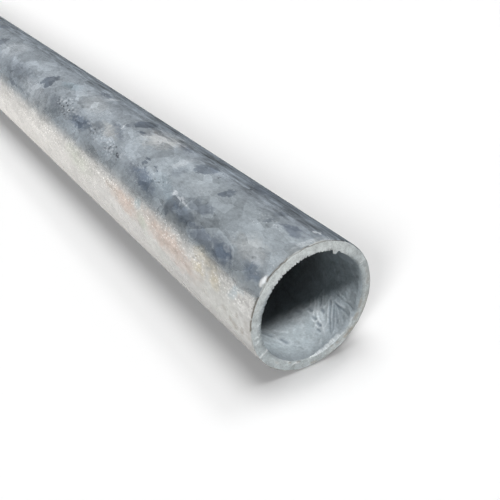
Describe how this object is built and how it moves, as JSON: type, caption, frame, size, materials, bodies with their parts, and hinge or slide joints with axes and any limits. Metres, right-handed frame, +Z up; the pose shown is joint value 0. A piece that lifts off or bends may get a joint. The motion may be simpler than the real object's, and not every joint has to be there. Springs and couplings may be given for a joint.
{
  "type": "round steel fence post",
  "caption": "Straight galvanised round steel tube, open and sawn square at both ends, used as a post for fences, gates and railings.",
  "frame": {"origin": "middle of the line along which the lying tube touches the floor, halfway between its two cut faces", "axes": "+X along the tube towards the end that the picture shows, +Z up as the tube lies"},
  "size_m": [1.5, 0.0484, 0.0481],
  "materials": {
    "galvanised_steel": "hot-dip zinc coating, dull blue-grey spangle"
  },
  "bodies": {
    "root": {"post_tube": "galvanised_steel"}
  },
  "joints": []
}
